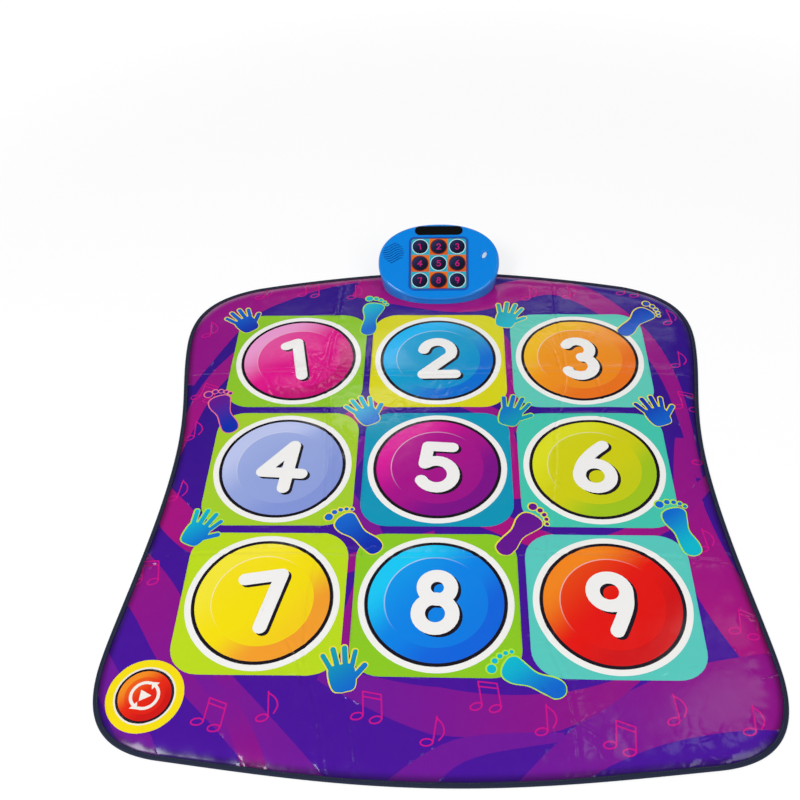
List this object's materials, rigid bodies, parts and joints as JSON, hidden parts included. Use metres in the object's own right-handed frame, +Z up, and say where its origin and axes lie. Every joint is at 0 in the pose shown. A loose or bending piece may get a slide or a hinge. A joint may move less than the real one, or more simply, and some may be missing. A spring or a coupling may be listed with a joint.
{
  "type": "electronic dance mat",
  "caption": "Padded dance mat with round pressure zones in a square grid, and a wedge-shaped console with a lit number panel, speaker, button and battery door on its back edge.",
  "frame": {"origin": "on the floor, on the mat's underside, below the centre of the middle touch zone", "axes": "+Z up, +Y from the player towards the console, +X to the player's right"},
  "size_m": [0.892, 1.0186, 0.0818],
  "materials": {
    "printed_vinyl": "glossy printed PVC sheet, slightly wrinkled",
    "backing": "matte non-slip backing cloth",
    "binding_tape": "dark navy woven binding tape, sewn on",
    "foam": "matte soft foam",
    "clear_film": "smooth polyester film",
    "carbon_ink": "matte printed carbon ink",
    "silver_ink": "satin printed silver ink",
    "blue_case": "glossy moulded ABS, bright blue",
    "dark_blue_case": "moulded ABS, darker blue",
    "black_gloss": "glossy black plate",
    "panel_print": "glossy window, printed from behind",
    "white_plastic": "matte white moulded plastic",
    "circuit_board": "green solder mask on glass fibre board",
    "steel": "plated steel",
    "black_paper": "matte black paper cone",
    "black_plastic": "matte black moulded plastic",
    "rubber": "matte black rubber",
    "battery_jacket": "satin plastic jacket on steel"
  },
  "bodies": {
    "mat": {"backing_sheet": "backing", "lower_film": "clear_film", "lower_circuit": "silver_ink", "spacer_foam": "foam", "upper_film": "clear_film", "padding_foam": "foam", "printed_cover": "printed_vinyl", "edge_binding": "binding_tape", "flex_tail": "clear_film", "lower_housing": "dark_blue_case", "upper_housing": "blue_case", "panel_bezel": "dark_blue_case", "panel_window": "panel_print", "light_box": "white_plastic", "led_board": "circuit_board", "label_plate": "black_gloss", "speaker_frame": "steel", "speaker_cone": "black_paper", "speaker_magnet": "steel", "mode_switch": "circuit_board", "battery_1": "battery_jacket", "battery_2": "battery_jacket", "battery_3": "battery_jacket", "spring_strip": "steel", "contact_strip": "steel", "power_switch": "black_plastic", "mat_screw_1": "steel", "mat_screw_2": "steel", "case_screw_1": "steel", "case_screw_2": "steel", "rubber_foot_1": "rubber", "rubber_foot_2": "rubber", "main_board": "circuit_board", "flex_connector": "white_plastic"},
    "touch_1": {"touch_zone_1": "printed_vinyl", "upper_contact_1": "carbon_ink"},
    "touch_2": {"touch_zone_2": "printed_vinyl", "upper_contact_2": "carbon_ink"},
    "touch_3": {"touch_zone_3": "printed_vinyl", "upper_contact_3": "carbon_ink"},
    "touch_4": {"touch_zone_4": "printed_vinyl", "upper_contact_4": "carbon_ink"},
    "touch_5": {"touch_zone_5": "printed_vinyl", "upper_contact_5": "carbon_ink"},
    "touch_6": {"touch_zone_6": "printed_vinyl", "upper_contact_6": "carbon_ink"},
    "touch_7": {"touch_zone_7": "printed_vinyl", "upper_contact_7": "carbon_ink"},
    "touch_8": {"touch_zone_8": "printed_vinyl", "upper_contact_8": "carbon_ink"},
    "touch_9": {"touch_zone_9": "printed_vinyl", "upper_contact_9": "carbon_ink"},
    "touch_start": {"touch_zone_start": "printed_vinyl", "upper_contact_start": "carbon_ink"},
    "mode_button": {"mode_button": "blue_case"},
    "power_slider": {"power_slider": "black_plastic"},
    "battery_door": {"battery_door": "blue_case", "door_screw": "steel"}
  },
  "joints": [
    {"name": "press_1", "type": "slide", "parent": "mat", "child": "touch_1", "axis": [0, 0, -1], "range_m": [0, 0.0015], "stiffness_N_per_m": 4000, "springref_m": -0.0005},
    {"name": "press_2", "type": "slide", "parent": "mat", "child": "touch_2", "axis": [0, 0, -1], "range_m": [0, 0.0015], "stiffness_N_per_m": 4000, "springref_m": -0.0005},
    {"name": "press_3", "type": "slide", "parent": "mat", "child": "touch_3", "axis": [0, 0, -1], "range_m": [0, 0.0015], "stiffness_N_per_m": 4000, "springref_m": -0.0005},
    {"name": "press_4", "type": "slide", "parent": "mat", "child": "touch_4", "axis": [0, 0, -1], "range_m": [0, 0.0015], "stiffness_N_per_m": 4000, "springref_m": -0.0005},
    {"name": "press_5", "type": "slide", "parent": "mat", "child": "touch_5", "axis": [0, 0, -1], "range_m": [0, 0.0015], "stiffness_N_per_m": 4000, "springref_m": -0.0005},
    {"name": "press_6", "type": "slide", "parent": "mat", "child": "touch_6", "axis": [0, 0, -1], "range_m": [0, 0.0015], "stiffness_N_per_m": 4000, "springref_m": -0.0005},
    {"name": "press_7", "type": "slide", "parent": "mat", "child": "touch_7", "axis": [0, 0, -1], "range_m": [0, 0.0015], "stiffness_N_per_m": 4000, "springref_m": -0.0005},
    {"name": "press_8", "type": "slide", "parent": "mat", "child": "touch_8", "axis": [0, 0, -1], "range_m": [0, 0.0015], "stiffness_N_per_m": 4000, "springref_m": -0.0005},
    {"name": "press_9", "type": "slide", "parent": "mat", "child": "touch_9", "axis": [0, 0, -1], "range_m": [0, 0.0015], "stiffness_N_per_m": 4000, "springref_m": -0.0005},
    {"name": "press_start", "type": "slide", "parent": "mat", "child": "touch_start", "axis": [0, 0, -1], "range_m": [0, 0.0015], "stiffness_N_per_m": 4000, "springref_m": -0.0005},
    {"name": "press_mode", "type": "slide", "parent": "mat", "child": "mode_button", "axis": [0, 0.4226, -0.9063], "range_m": [0, 0.001], "stiffness_N_per_m": 500, "springref_m": -0.001},
    {"name": "slide_power", "type": "slide", "parent": "mat", "child": "power_slider", "axis": [-0.9546, 0.2979, 0], "range_m": [0, 0.004]},
    {"name": "swing_battery_door", "type": "hinge", "parent": "mat", "child": "battery_door", "pos_m": [0, 0.51505, 0.00962], "axis": [-1, 0, 0], "range_deg": [0, 95]}
  ]
}
